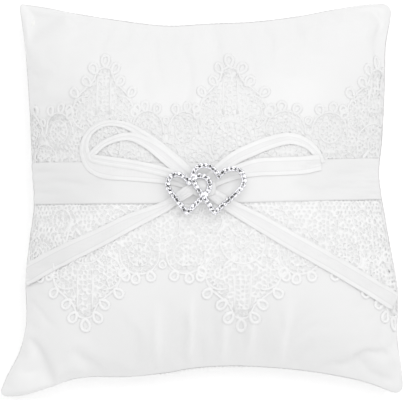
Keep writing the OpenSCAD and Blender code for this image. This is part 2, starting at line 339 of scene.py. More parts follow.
# Inward pull of each edge from the straight line between its corners: (place from -1 to 1, mm)
LEFT_PULL = [(-1, 0), (-0.9, 3.7), (-0.77, 9.8), (-0.66, 12.2), (-0.4, 11), (-0.2, 12), (-0.03, 13.3),
             (0.2, 11.0), (0.5, 8), (0.83, 3.5), (1, 0)]
RIGHT_PULL = [(-1, 0), (-0.85, 0.8), (-0.72, 2.3), (-0.46, 1.4), (-0.26, 4.2), (-0.08, 6.9), (0.12, 9.4),
              (0.3, 7.3), (0.62, 4.8), (0.8, 3.7), (0.92, 1.2), (1, 0)]
UPPER_PULL = [(-1, 0), (-0.86, 2), (-0.69, 5.2), (-0.48, 8.4), (-0.18, 11.5), (0, 10.5), (0.27, 9.3),
              (0.48, 6.8), (0.69, 3.1), (0.86, 0.6), (1, 0)]
LOWER_PULL = [(-1, 0), (-0.87, 0.9), (-0.74, 5.1), (-0.64, 8.8), (-0.35, 10.4), (-0.19, 12), (-0.04, 14.6),
              (0.4, 14.6), (0.62, 11.7), (0.83, 6.9), (0.92, 3.4), (1, 0)]
UPPER_LEFT_INSET = 10.5
UPPER_RIGHT_INSET = 5.7
# How round each corner is, as a share of the half span: lower left, lower right, upper left, upper right
CORNER_ROUND = {(-1, -1): 0.04, (1, -1): 0.06, (-1, 1): 0.015, (1, 1): 0.05}


def left_x(v):
    return -HALF_W + UPPER_LEFT_INSET * (v + 1) / 2 + smooth_table(LEFT_PULL, v)


def right_x(v):
    return HALF_W - UPPER_RIGHT_INSET * (v + 1) / 2 - smooth_table(RIGHT_PULL, v)


def lower_y(u):
    return -HALF_H + smooth_table(LOWER_PULL, u)


def upper_y(u):
    return HALF_H - smooth_table(UPPER_PULL, u)


def round_corners(u, v):
    u, v = np.array(u, float), np.array(v, float)
    for (side_u, side_v), share in CORNER_ROUND.items():
        a = (u * side_u - (1 - share)) / share
        b = (v * side_v - (1 - share)) / share
        at = (a > 0) & (b > 0)
        ra, rb = a * np.sqrt(np.clip(1 - b ** 2 / 2, 0, 1)), b * np.sqrt(np.clip(1 - a ** 2 / 2, 0, 1))
        u = np.where(at, side_u * (1 - share + share * ra), u)
        v = np.where(at, side_v * (1 - share + share * rb), v)
    return u, v


def plan(u, v):
    u, v = round_corners(u, v)
    left, right = left_x(v), right_x(v)
    low, high = lower_y(u), upper_y(u)
    return left + (right - left) * (u + 1) / 2, low + (high - low) * (v + 1) / 2


# ---- the stuffed cover

GRID = 97
INDEX = np.arange(GRID * GRID).reshape(GRID, GRID)
CROWN_POWER = 0.52
# The cloth simulation starts this much lower than the finished crown
START_SHARE = 0.86


def starting_grids():
    steps = np.linspace(-1, 1, GRID)
    u, v = np.meshgrid(steps, steps, indexing="ij")
    x, y = plan(u, v)
    crown = ((1 - u ** 2) * (1 - v ** 2)).clip(0) ** CROWN_POWER
    front = np.stack([x, y, SEAM_Z + RISE * START_SHARE * crown], axis=2)
    back = np.stack([x, y, SEAM_Z - DROP * 1.2 * START_SHARE * crown], axis=2)
    return front, back


def closed_cushion(front, back):
    """One closed mesh of the two covers, sharing the points of the seam. Returns points, faces, and the
    indices of the back's grid in the joined points."""
    back_index = INDEX.copy()
    back_index[1:-1, 1:-1] = INDEX.size + np.arange((GRID - 2) ** 2).reshape(GRID - 2, GRID - 2)
    points = np.concatenate([front.reshape(-1, 3), back[1:-1, 1:-1].reshape(-1, 3)])
    back_faces = back_index.ravel()[grid_faces(GRID, GRID, flip=True)]
    return points, np.concatenate([grid_faces(GRID, GRID), back_faces]), back_index


SIM_SCALE = 5.0
SIM_FRAMES = 20
SIM_CAP = 9.0
SATIN = {"quality": 6, "mass": 0.25, "tension_stiffness": 25, "compression_stiffness": 25,
         "shear_stiffness": 12, "bending_stiffness": 1.5, "use_pressure": True,
         "uniform_pressure_force": 4, "shrink_min": -0.035}


def inflate(points, faces, seam):
    """Cloth under pressure with the seam held. Worked at a larger scale, where the solver is steady."""
    mesh = bpy.data.meshes.new("inflating")
    mesh.from_pydata((points * MM * SIM_SCALE).tolist(), [], faces.tolist())
    mesh.update()
    cushion = add_object("inflating", mesh)
    held = cushion.vertex_groups.new(name="seam")
    held.add(seam.tolist(), 1.0, "REPLACE")
    cloth = cushion.modifiers.new("Cloth", "CLOTH")
    for name, value in SATIN.items():
        setattr(cloth.settings, name, value)
    cloth.settings.vertex_group_mass = "seam"
    cloth.settings.effector_weights.gravity = 0
    cloth.collision_settings.use_collision = False
    cloth.point_cache.frame_start = 1
    cloth.point_cache.frame_end = SIM_FRAMES
    for number in range(1, SIM_FRAMES + 1):
        scene.frame_set(number)
    swollen = cushion.evaluated_get(bpy.context.evaluated_depsgraph_get()).data
    after = np.zeros(len(swollen.vertices) * 3)
    swollen.vertices.foreach_get("co", after)
    after = after.reshape(-1, 3) / MM / SIM_SCALE
    bpy.data.objects.remove(cushion)
    bpy.data.meshes.remove(mesh)
    scene.frame_set(1)
    moved = after - points
    length = np.linalg.norm(moved, axis=1, keepdims=True)
    return points + moved * np.minimum(1, SIM_CAP / np.maximum(length, 1e-9))


# Soft folds that rise from the lower edge: (x mm, height mm, reach mm, half width mm, lean)
LOWER_FOLDS = [(-22, 3.8, 40, 2.7, 0.0), (-5, 4.6, 44, 2.5, 0.02), (12, 4.6, 44, 2.4, 0.05),
               (25, 4.6, 40, 2.5, 0.10), (41, 4.2, 38, 2.6, 0.16), (-59, 2.4, 16, 2.6, -0.5),
               (74, 2.2, 18, 2.8, 0.35)]
TALLEST_FOLD = max(fold[1] for fold in LOWER_FOLDS)
# How much the fold crests are lightened in colour: a painted highlight
FOLD_PAINTED_HIGHLIGHT = 0.8


def folds_at(points, lower_edge):
    """How far the soft folds along the lower edge raise the front, and how much painted highlight each point
    gets on their crests.
    """
    x, y = points[..., 0], points[..., 1]
    above = np.maximum(y - lower_edge, 0)
    lift, crest_painted_highlight = np.zeros(x.shape), np.zeros(x.shape)
    for place, height, reach, half_width, lean in LOWER_FOLDS:
        across = (x - place - lean * above) / half_width
        along = np.clip(above / reach, 0, 1)
        profile = np.exp(-across ** 2) - 0.35 * np.exp(-(across - 2.1) ** 2)
        share = np.sin(np.pi * along ** 0.55) ** 1.2
        lift += height * profile * share
        crest_painted_highlight += FOLD_PAINTED_HIGHLIGHT * np.exp(-(across / 0.7) ** 2) * share * height / TALLEST_FOLD
    return lift, crest_painted_highlight


def build_cushion():
    """The cushion's points in mm as front and back grids, the front without its folds, and the painted
    highlight on the folds' crests.
    """
    points, faces, back_index = closed_cushion(*starting_grids())
    points = inflate(points, faces, outer_ring(INDEX))
    front, back = points[INDEX], points[back_index]
    seam_height = front[:, :, 2] - SEAM_Z
    front[:, :, 2] = SEAM_Z + seam_height * (RISE - 1.0) / seam_height.max()
    below = SEAM_Z - back[:, :, 2]
    below *= (DROP * 1.22) / below.max()
    softness = 1.5
    depth = DROP - below
    back[:, :, 2] = 0.5 * (depth + np.sqrt(depth ** 2 + softness ** 2))
    back[:, :, 2] -= back[:, :, 2].min() * (below / below.max())
    steps = np.linspace(-1, 1, GRID)
    fade = (1 - steps ** 2) ** 0.3
    lift, crest_painted_highlight = folds_at(front, plan(steps, -np.ones(GRID))[1][:, None])
    smooth = front.copy()
    front[:, :, 2] += lift * fade
    return front, back, smooth, crest_painted_highlight * fade


COVER_T = 0.4
# How thick each cover is at the seam
RIM_T = 0.05


def cover_piece(name, grid, inward, crest_painted_highlight=None):
    """A thin closed cover from a grid of its outer points. inward is the sign of z towards the filling."""
    inner = grid.copy()
    inner[1:-1, 1:-1, 2] += inward * COVER_T
    outer = grid.copy()
    outer[:, :, 2] = np.maximum(outer[:, :, 2] - inward * RIM_T, 0)
    points, faces = thick_grid(*((inner, outer) if inward < 0 else (outer, inner)))
    # The folds' painted highlight, on both sheets of the cover
    across = None if crest_painted_highlight is None else np.tile(crest_painted_highlight.ravel(), 2)
    piece = mesh_piece(name, points, faces, COVER, across=across)
    smoothing = piece.modifiers.new("finer", "SUBSURF")
    smoothing.levels = 1
    smoothing.render_levels = 1
    return piece


front_grid, back_grid, smooth_grid, crest_painted_highlight_grid = build_cushion()
front_panel = cover_piece("front_panel", front_grid, -1, crest_painted_highlight_grid)
back_panel = cover_piece("back_panel", back_grid, 1)


# ---- heights of the front

STEP = 1.0
field_x = np.arange(-HALF_W, HALF_W + STEP, STEP)
field_y = np.arange(-HALF_H, HALF_H + STEP, STEP)


def height_field(grid):
    faces = grid_faces(*grid.shape[:2]).tolist()
    tree = BVHTree.FromPolygons([Vector(p) for p in grid.reshape(-1, 3)], faces)
    down = Vector((0, 0, -1))
    field = np.full((len(field_x), len(field_y)), SEAM_Z)
    for i, x in enumerate(field_x):
        for j, y in enumerate(field_y):
            hit = tree.ray_cast(Vector((x, y, 200)), down)[0]
            if hit is not None:
                field[i, j] = hit.z
    return field


field_z = height_field(front_grid)
# The run along the cloth leaves the folds out, so that they don't pull the lace askew
arc_x = np.zeros_like(field_z)
arc_x[1:] = np.cumsum(np.hypot(STEP, np.diff(height_field(smooth_grid), axis=0)), axis=0)
middle = np.argmin(abs(field_x))
arc_x -= arc_x[middle]
SEAM_REACH = 0.991


def sample(field, x, y):
    fx = np.clip((np.asarray(x) - field_x[0]) / STEP, 0, len(field_x) - 1.001)
    fy = np.clip((np.asarray(y) - field_y[0]) / STEP, 0, len(field_y) - 1.001)
    i, j = fx.astype(int), fy.astype(int)
    p, q = fx - i, fy - j
    return ((1 - p) * (1 - q) * field[i, j] + p * (1 - q) * field[i + 1, j]
            + (1 - p) * q * field[i, j + 1] + p * q * field[i + 1, j + 1])


def edges_at(y):
    """The left and right seam at a height in plan."""
    v = np.clip(np.asarray(y) / HALF_H, -1, 1)
    return left_x(v), right_x(v)


def on_front(x, y, lift):
    """Points on the front, moved out along its slope by lift, and kept inside the side seams."""
    x, y = np.asarray(x, float), np.asarray(y, float)
    left, right = edges_at(y)
    x = np.clip(x, left * SEAM_REACH, right * SEAM_REACH)
    z = sample(field_z, x, y)
    dx = (sample(field_z, x + 1, y) - sample(field_z, x - 1, y)) / 2
    dy = (sample(field_z, x, y + 1) - sample(field_z, x, y - 1)) / 2
    lean = np.minimum(1, 3 / np.hypot(dx, dy).clip(1e-6))
    normal = unit(np.stack([-dx * lean, -dy * lean, np.ones_like(dx)], axis=-1))
    return np.stack([x, y, z], axis=-1) + normal * np.asarray(lift)[..., None]


def rows_of(y):
    return np.clip(np.round((y - field_y[0]) / STEP).astype(int), 0, len(field_y) - 1)


def from_flat(flat_x, y):
    """The x in plan of a point that lies flat_x along the cloth from the middle, at height y."""
    rows = rows_of(y)
    x = np.empty_like(flat_x)
    for row in np.unique(rows):
        at = rows == row
        x[at] = np.interp(flat_x[at], arc_x[:, row], field_x)
    return x


# ---- lace

CORD = 1.3
THIN = 1.0
LACE_PITCH = 81.0
# The flat places of five pointed motifs along the lower edge and along the upper edge
MOTIF_PLACES = {-1: [-140.0, -59.5, 21.8, 106.0, 187.0], 1: [-124.0, -49.5, 15.2, 97.0, 178.0]}
# The outline of one pointed motif: distance across from its middle, distance back from its tip
MOTIF_EDGE = [(0, 7.4), (3.2, 8.2), (4.8, 10.4), (6.0, 14), (8.6, 16.6), (12.2, 19.4), (15.8, 22.4),
              (18.2, 26), (19.2, 31), (19.3, 39)]
# The short scallops between two motifs: where they stand, and their radius
SCALLOPS = [(28.5, 10.2), (52.0, 9.8)]
SCALLOP_BACK = 40.4
VALLEY = 34.0
CELL = 2.55


def turn(points, angle):
    c, s = math.cos(angle), math.sin(angle)
    return np.asarray(points) @ np.array([[c, s], [-s, c]])


def petal(x, y, angle, length, width, cord=CORD, count=14):
    """A drop-shaped loop that starts at x, y and points along angle (0 is +Y, clockwise positive)."""
    t = np.linspace(0, TURN, count, endpoint=False)
    shape = np.stack([np.sin(t) * np.sin(t / 2) ** 0.6 * width / 1.7, (1 - np.cos(t)) / 2 * length], axis=1)
    return (turn(shape, -angle) + (x, y), cord, True)


def arc(x, y, radius, start, end, cord=CORD):
    """An arc about x, y from one angle to another, in radians, 0 along +Y and clockwise positive."""
    t = np.linspace(start, end, max(6, int(abs(end - start) * radius / 1.5)))
    return (np.stack([x + radius * np.sin(t), y + radius * np.cos(t)], axis=1), cord, False)


def leaf(x, y, angle, length, width, count=7):
    """A solid satin-stitched leaf: a stroke that swells in its middle."""
    t = np.linspace(0, 1, count)
    line = np.stack([np.zeros(count), t * length], axis=1)
    return (turn(line, -angle) + (x, y), 0.25 + width * np.sin(np.pi * t) ** 0.8, False)


def polar(x, y, radius, angle):
    return x + radius * math.sin(angle), y + radius * math.cos(angle)


def lace_edge(x):
    """Half height of the net at x of one repeat, where the motifs stand at 0 and at the pitch."""
    x = np.asarray(x, float) % LACE_PITCH
    off = np.minimum(x, LACE_PITCH - x)
    across, back = np.array(MOTIF_EDGE).T
    edge = np.where(off < across[-1], LACE_TALL - np.interp(off, across, back), VALLEY)
    for place, radius in SCALLOPS:
        bow = np.sqrt(np.clip(radius ** 2 - (x - place) ** 2, 0, None))
        edge = np.maximum(edge, np.where(bow > 0, LACE_TALL - SCALLOP_BACK + bow, 0))
    return np.maximum(edge, VALLEY)


def round_seeds(x, y, radii):
    out = []
    for radius in radii:
        count = max(1, round(TURN * radius / CELL))
        out += [polar(x, y, radius, TURN * k / count) for k in range(count)]
    return out


def half_seeds():
    """The middles of the net's cells over one repeat, from the lace's middle line to one edge."""
    tip = LACE_TALL
    wanted = []
    for x in (-CELL, 0, CELL):
        wanted += [(x, tip - d) for d in np.arange(11.0, 32, 2.5)]
    for side in (-1, 1):
        wanted += round_seeds(side * 10.6, tip - 31.0, (0, 2.4, 4.8, 7.2))
        wanted += round_seeds(side * 16.5, 14.5, (0, 2.4, 4.9))
    wanted += round_seeds(0, tip - 47, (0, 2.5, 5.0, 7.6, 10.1))
    for place, _radius in SCALLOPS:
        wanted += round_seeds(place, tip - SCALLOP_BACK, (0, 2.3, 4.7, 7.2, 9.3))
    wanted += round_seeds(40.5, tip - SCALLOP_BACK - 14.5, (0, 2.4, 4.9, 7.3))
    rows = int((LACE_TALL + 6) / (CELL * 0.87))
    columns = round(LACE_PITCH / CELL)
    for j in range(rows):
        wanted += [((i + 0.5 * (j % 2)) * LACE_PITCH / columns, CELL / 2 + j * CELL * 0.87)
                   for i in range(columns)]
    kept = []
    for x, y in wanted:
        x = x % LACE_PITCH
        gaps = [min(abs(x - a), LACE_PITCH - abs(x - a)) ** 2 + (y - b) ** 2 for a, b in kept]
        if y >= CELL * 0.35 and all(gap > (CELL * 0.78) ** 2 for gap in gaps):
            kept.append((x, y))
    return np.array(kept)


def half_strokes():
    """The heavier cords of one repeat, from the lace's middle line to one edge."""
    tip = LACE_TALL
    across = np.linspace(-MOTIF_EDGE[-1][0], MOTIF_EDGE[-1][0], 40)
    out = [(np.stack([across, lace_edge(across)], axis=1), CORD, False),
           petal(0, tip - 7.4, 0, 6.4, 4.6, 2.0)]
    for side in (-1, 1):
        for x, back, angle, length in ((4.7, 10.6, 0.62, 6.0), (7.9, 16.8, 0.86, 5.8), (15.6, 22.6, 0.8, 5.6),
                                       (19.2, 29.5, 1.35, 4.2)):
            out.append(petal(side * x, tip - back, side * angle, length, 4.2, 1.9))
        eye = (side * 10.6, tip - 31.0)
        out += [arc(*eye, 8.6, side * -0.2, side * 3.0), arc(*eye, 5.9, side * 0.1, side * 2.6, THIN)]
        out += [leaf(*polar(*eye, 5.7, side * angle), side * angle, 2.9, 1.1, 5)
                for angle in np.linspace(0.3, 2.7, 9)]
        x = side * 4.1
        stem = np.array([(x, tip - 32), (x * 1.03, tip - 24), (x * 0.98, tip - 17), (x, tip - 11)])
        out += [(stem, CORD, False), leaf(side * 5.4, tip - 38.5, side * 0.8, 7.0, 1.8),
                leaf(side * 2.0, tip - 49, side * 2.4, 7.5, 1.8),
                arc(side * 16.5, 14.5, 6.2, 0, TURN, THIN)]
    rose = (0, tip - 47)
    out += [arc(*rose, 11.4, -2.1, 2.1), arc(*rose, 3.8, 0, TURN, THIN)]
    out += [leaf(*polar(*rose, 8.0, angle), angle, 3.2, 1.2, 5) for angle in np.linspace(-1.9, 1.9, 13)]
    for number, (place, radius) in enumerate(SCALLOPS):
        eye = (place, tip - SCALLOP_BACK)
        out += [arc(*eye, radius, -1.75, 1.75), arc(*eye, 6.0, 0, TURN, THIN)]
        out += [leaf(*polar(*eye, 2.4, k * 0.628), k * 0.628, 2.9, 1.1, 5) for k in range(10)]
        out += [petal(*polar(*eye, radius - 0.2, angle), angle * 0.8, 5.0, 4.1, 1.9)
                for angle in ((-0.78, -0.16, 0.5) if number == 0 else (-0.5, 0.16, 0.78))]
    return out + [petal(40.3, tip - SCALLOP_BACK + 3.2, 0, 3.8, 3.4, 1.5),
                  arc(40.5, tip - SCALLOP_BACK - 14.5, 8.4, -1.9, 1.9, THIN)]


def to_flat(x, side):
    """Flat places along the cloth of places counted in repeats from the middle lower motif."""
    return np.interp(x, (np.arange(5) - 2) * LACE_PITCH, MOTIF_PLACES[side])


def within_seams(points, margin):
    """Which flat points lie inside both side seams by a margin."""
    rows = rows_of(points[:, 1])
    left, right = [np.array([np.interp(x, field_x, arc_x[:, row]) for x, row in zip(edge, rows)])
                   for edge in edges_at(points[:, 1])]
    return (points[:, 0] > left + margin) & (points[:, 0] < right - margin)


REPEATS = (-2, -1, 0, 1)


def lace_seeds():
    """The net's cell middles over the whole band in flat coordinates, and which of them belong to it."""
    half = half_seeds()
    points, inside = [], []
    for side in (-1, 1):
        for repeat in REPEATS:
            x = to_flat(half[:, 0] + repeat * LACE_PITCH, side)
            points.append(np.stack([x, LACE_Y + side * half[:, 1]], axis=1))
            inside.append(half[:, 1] < lace_edge(half[:, 0]) - 0.7)
    points, inside = np.concatenate(points), np.concatenate(inside)
    points += rng.uniform(-0.42, 0.42, points.shape)
    inside &= within_seams(points, 1.5)
    near = within_seams(points, -9)
    return points[near], inside[near]


def lace_strokes():
    """The heavier cords of the whole band in flat coordinates: x along the cloth, y in plan."""
    half = half_strokes()
    out = []
    for side in (-1, 1):
        for repeat in (*REPEATS, 2):
            for points, cord, closed in half:
                x = points[:, 0] + repeat * LACE_PITCH
                if abs(x).max() < 2 * LACE_PITCH:
                    flat = np.stack([to_flat(x, side), LACE_Y + side * points[:, 1]], axis=1)
                    out.append((flat, cord, closed))
    return out


# A hole's share of its cell, in the net and in the cells that lie this far from a cord
HOLE = 0.44
HOLE_BY_CORD = 0.72
BESIDE_CORD = (0.9, 2.0)
NET_TALL = 0.46


def distance_to(strokes, seeds):
    """How far each seed lies from the nearest cord."""
    line = np.concatenate([points for points, _cord, _closed in strokes])
    near = np.full(len(seeds), 99.0)
    for start in range(0, len(seeds), 200):
        gap = seeds[start:start + 200, None] - line[None]
        near[start:start + 200] = np.sqrt((gap ** 2).sum(axis=2).min(axis=1))
    return near


def net_cells(seeds, inside, strokes):
    """An open net: one ridged rim per cell with a hole in its middle. The holes are wider beside the cords.
    Returns flat points, heights, faces and the net's own area."""
    beside = distance_to(strokes, seeds)
    share = np.where((beside > BESIDE_CORD[0]) & (beside < BESIDE_CORD[1]), HOLE_BY_CORD, HOLE)
    corners, _edges, triangles = delaunay_2d_cdt([Vector(p) for p in seeds], [], [], 0, 1e-6)[:3]
    corners = np.array([tuple(c) for c in corners])
    triangles = np.array([t for t in triangles if len(t) == 3])
    middles = corners[triangles].mean(axis=1)
    at_rim = ~inside[triangles].all(axis=1)
    around = [[] for _ in corners]
    for number, triangle in enumerate(triangles):
        for corner in triangle:
            around[corner].append(number)
    ridge = NET_TALL * rng.uniform(0.4, 1.4, len(middles))
    points, heights, faces = [middles], [np.where(at_rim, 0.06, ridge)], []
    base = len(middles)
    area = 0.0
    for seed in np.flatnonzero(inside):
        ring = np.array(around[seed])
        spokes = middles[ring] - corners[seed]
        turned = np.arctan2(spokes[:, 1], spokes[:, 0])
        order = np.argsort(turned)
        ring, spokes, turned = ring[order], spokes[order], turned[order]
        count = len(ring)
        if count < 4:
            continue
        reach = np.linalg.norm(spokes, axis=1)
        hole = share[seed] * reach.mean() * rng.uniform(0.65, 1.45)
        stretch = 1 + 0.35 * np.cos(2 * (turned - rng.uniform(0, math.pi)))
        inner = spokes / reach[:, None] * np.minimum(hole * stretch, reach * 0.78)[:, None]
        shoulder = inner + (spokes - inner) * 0.4
        points += [corners[seed] + shoulder, corners[seed] + inner]
        heights += [np.full(count, NET_TALL * 0.8), np.full(count, 0.02)]
        step = np.arange(count)
        ahead = np.roll(step, -1)
        mid, low = base + step, base + count + step
        faces += np.stack([ring, ring[ahead], mid[ahead], mid], axis=1).tolist()
        faces += np.stack([mid, mid[ahead], low[ahead], low], axis=1).tolist()
        base += 2 * count
        for shape, sign in ((spokes, 0.5), (inner, -0.5)):
            area += sign * abs(np.sum(shape[:, 0] * shape[ahead, 1] - shape[ahead, 0] * shape[:, 1]))
    return np.concatenate(points), np.concatenate(heights), faces, area


def trim_to_seams(strokes):
    """Leaves out what lies past the side seams."""
    out = []
    for points, cord, closed in strokes:
        inside = within_seams(points, 1.2)
        if inside.all():
            out.append((points, cord, closed))
        elif inside.sum() >= 3:
            kept = np.flatnonzero(inside)
            for run in np.split(kept, np.flatnonzero(np.diff(kept) > 1) + 1):
                if len(run) >= 2:
                    width = cord[run] if np.ndim(cord) else cord
                    out.append((points[run], width, False))
    return out


# A cord's section: places across as shares of its width, and heights as shares of its height
SECTION_X = np.array([-0.5, -0.4, 0.0, 0.4, 0.5])
SECTION_Z = np.array([0.0, 0.8, 1.0, 0.8, 0.0])


def sweep_strokes(strokes, height):
    """Rounded cords along flat strokes, open below. Returns flat points, heights and faces."""
    flat, lifts, faces = [], [], []
    base = 0
    section = len(SECTION_X)
    for points, cord, closed in strokes:
        count = len(points)
        if closed:
            ahead = np.roll(points, -1, axis=0) - np.roll(points, 1, axis=0)
        else:
            ahead = np.gradient(points, axis=0)
        width = np.broadcast_to(cord, (count,))
        spread = leftward(unit(ahead))[:, None] * (SECTION_X[None, :, None] * width[:, None, None])
        flat.append((points[:, None] + spread).reshape(-1, 2))
        tall = height * np.clip(width / CORD, 0.5, 1.15)
        lifts.append((SECTION_Z[None] * tall[:, None]).ravel())
        index = base + np.arange(count * section).reshape(count, section)
        near, far = (index, np.roll(index, -1, axis=0)) if closed else (index[:-1], index[1:])
        for k in range(section - 1):
            faces += np.stack([near[:, k], near[:, k + 1], far[:, k + 1], far[:, k]], axis=1).tolist()
        if not closed:
            faces += [index[0][::-1].tolist(), index[-1].tolist()]
        base += count * section
    return np.concatenate(flat), np.concatenate(lifts), faces


CORD_TALL = 0.68
# How much the raised threads are lightened in colour, a painted highlight, and the share of it in the upper
# half
NET_PAINTED_HIGHLIGHT = 0.85
CORD_PAINTED_HIGHLIGHT = 0.65
UPPER_PAINTED_HIGHLIGHT = 0.3
# The lace lies this far off the cover
LACE_CLEAR = 0.1


def build_lace():
    """The lace: an open net of small cells, with heavier cords worked over it."""
    strokes = trim_to_seams(lace_strokes())
    net, net_lift, net_faces, net_area = net_cells(*lace_seeds(), strokes)
    cords, cord_lift, cord_faces = sweep_strokes(strokes, CORD_TALL)
    cord_area = sum(np.linalg.norm(np.diff(p, axis=0), axis=1).sum() * np.mean(c) for p, c, _k in strokes)
    flat = np.concatenate([net, cords])
    lift = np.concatenate([net_lift, cord_lift]) + LACE_CLEAR
    faces = net_faces + [[i + len(net) for i in face] for face in cord_faces]
    points = on_front(from_flat(flat[:, 0], flat[:, 1]), flat[:, 1], lift)
    # Raised threads lighter in colour the higher they stand: painted highlight, weaker in the upper half
    thread_painted_highlight = np.concatenate([net_lift / NET_TALL * NET_PAINTED_HIGHLIGHT, cord_lift / CORD_TALL * CORD_PAINTED_HIGHLIGHT]).clip(0, 1)
    thread_painted_highlight *= np.where(flat[:, 1] < LACE_Y, 1, UPPER_PAINTED_HIGHLIGHT)
    return mesh_piece("lace_band", points, faces, LACE, across=thread_painted_highlight), net_area + cord_area


lace_band, lace_area = build_lace()


# ---- satin band

LACE_TOP = 0.7
BAND_T = 0.22
# Where the band's middle line runs: (share across the pillow, mm from the CAD's line)
BAND_SAG = [(0, -0.7), (0.25, -1.1), (0.5, -1.3), (0.75, 0.2), (1, 1.7)]


def build_satin_band():
    columns, rows = 180, 24
    s = np.linspace(0, 1, columns + 1)[:, None]
    r = np.linspace(-1, 1, rows + 1)[None, :]
    y = BAND_Y + smooth_table(BAND_SAG, s) + r * BAND_W / 2 * (1 - 0.05 * np.sin(s * np.pi))
    left, right = edges_at(y)
    x = left * SEAM_REACH + (right - left) * SEAM_REACH * s
    ripple = 0.11 * np.sin(s * 23 + r * 1.3) * np.sin(s * np.pi) + 0.08 * np.sin(s * 51 - r * 2)
    # The cloth is gathered a little where it enters the side seams
    near_right = np.clip((s - 0.72) / 0.2, 0, 1) ** 2
    near_left = np.clip((0.2 - s) / 0.2, 0, 1)
    ripple += 0.42 * near_right * np.sin(r * 13 + 2.2 * s) * (0.35 + 0.65 * (r < 0))
    ripple += 0.5 * near_left * np.sin(r * 6.5 - 3 * s)
    edge_drop = 0.15 * np.clip((abs(r) - 0.86) / 0.14, 0, 1) ** 2
    lift = LACE_TOP + abs(ripple) - edge_drop
    points, faces = thick_grid(on_front(x, y, lift), on_front(x, y, lift + BAND_T))
    return mesh_piece("satin_band", points, faces, RIBBON_SATIN)


satin_band = build_satin_band()


# ---- sheer ribbon

RIBBON_W = 10.0
RIBBON_T = 0.15
# A gathered strand hides more of what lies behind it
GATHER_COVER = 0.7


def ribbon_piece(name, fold_height, folds, route):
    """A ribbon along a route. Returns the piece, its length, and its flat area where pleats narrow it."""
    stations = spline([(*station, 0)[:5] for station in route], np.linspace(0, 1, 90))
    side = leftward(unit(np.gradient(stations[:, :2], axis=0)))[:, None]
    share = stations[:, 3, None]
    lean = np.radians(stations[:, 4, None])
    half = RIBBON_W / 2 * share
    narrowed = 1 - share.clip(0, 1)
    cells = 16
    k = np.linspace(-1, 1, cells + 1)
    place = stations[:, None, :2] + side * (half * k * np.cos(lean))[..., None]
    pleats = fold_height * narrowed ** 0.5 * (1 - np.cos(k * np.pi * folds)) / 2
    lift = stations[:, 2, None] + half * (k + 1) * np.sin(lean) + pleats
    low = on_front(place[..., 0], place[..., 1], lift)
    upward = np.concatenate([-np.sin(lean)[..., None] * side, np.cos(lean)[..., None]], axis=-1)
    points, faces = thick_grid(low, low + upward * RIBBON_T)
    across = abs(k) + GATHER_COVER * narrowed
    piece = mesh_piece(name, points, faces, SHEER, across=np.tile(across.ravel(), 2))
    legs = np.linalg.norm(np.diff(low[:, cells // 2], axis=0), axis=1)
    shares = (share[1:, 0] + share[:-1, 0]) / 2
    return piece, legs.sum(), RIBBON_W * (legs * shares).sum()


# How far off the cover a ribbon lies over the satin band, and on the lace
LOW = LACE_TOP + BAND_T + 0.35
ON_LACE = LACE_TOP + 0.3
# Each ribbon: its pleats' height, how many pleats, and its route as (x, y, lift, width share), with a lean in
# degrees where it doesn't lie flat
ROUTES = {
    "ribbon_tail_left": (0.35, 3.0, [
        (4, 9, 3.2, 0.5), (-2, 6.4, 4.3, 0.55), (-8, 2.8, 4.6, 0.55), (-14, -1.2, 2.6, 0.5),
        (-20, -4.8, 1.5, 0.58), (-36, -11.8, ON_LACE, 0.86), (-52, -20, ON_LACE, 0.95),
        (-70, -28.6, ON_LACE, 1.03), (-92.5, -40.4, ON_LACE, 1.1)]),
    "ribbon_tail_right": (0.35, 2.0, [
        (2, 5, 4.4, 0.5), (9, 0.3, 3.2, 0.6), (16, -4.2, 1.8, 0.68), (29, -11.4, ON_LACE, 0.85),
        (47, -21.8, ON_LACE, 0.92), (70, -34.8, ON_LACE, 0.92), (100.5, -53.0, ON_LACE, 0.97)]),
    "bow_loop_left_outer": (0.3, 2.0, [
        (0, 7, 3.0, 0.5), (-9, 15.5, 1.6, 0.6), (-19, 24.2, 1.3, 0.62), (-29, 32.0, 0.95, 0.5),
        (-38, 37.4, 0.95, 0.36), (-48, 38.6, 0.95, 0.32), (-55.6, 35.0, 0.95, 0.34),
        (-59.0, 29.0, 1.0, 0.42), (-58.6, 23.2, LOW, 0.56), (-54.5, 17.2, LOW, 0.8), (-46, 14.8, LOW, 0.95),
        (-30, 13.4, LOW, 0.95), (-15, 11.0, 1.5, 0.8), (-2, 6.6, 2.8, 0.6)]),
    "bow_loop_left_inner": (0.3, 2.0, [
        (1, 7, 3.4, 0.5), (-9, 13.8, 2.0, 0.65), (-18, 21.6, 1.7, 0.7), (-27, 28.2, 1.25, 0.58),
        (-37, 31.8, 1.0, 0.42), (-47, 29.4, 1.05, 0.34), (-53.0, 25.2, 1.2, 0.34), (-55.6, 21.6, 1.5, 0.4),
        (-51, 20.0, 1.55, 0.46), (-43, 18.6, 1.5, 0.5), (-31, 16.6, 1.5, 0.5), (-16, 12.8, 1.8, 0.5),
        (-2, 7.6, 3.2, 0.5)]),
    "bow_loop_right_outer": (0.3, 2.0, [
        (2, 7, 3.2, 0.5), (8, 13.6, 1.7, 0.6), (17, 20.6, 1.4, 0.66), (26, 25.0, 1.0, 0.69),
        (35, 28.6, 0.95, 0.66), (45, 30.8, 0.95, 0.6), (53, 28.6, 0.95, 0.5), (58.4, 24, 1.1, 0.45),
        (60.6, 18.4, 1.3, 0.5)]),
    "bow_loop_right_inner": (0.3, 2.0, [
        (3, 6.4, 2.8, 0.55), (9, 9.8, 1.8, 0.6), (18, 13.4, 1.5, 0.72), (29, 16.0, LOW, 0.92),
        (41, 16.6, LOW, 0.95), (52, 17.2, LOW, 0.92), (60.4, 18.6, LOW + 0.2, 0.84, 3)]),
}

ribbons = {name: ribbon_piece(name, *route) for name, route in ROUTES.items()}


# ---- knot

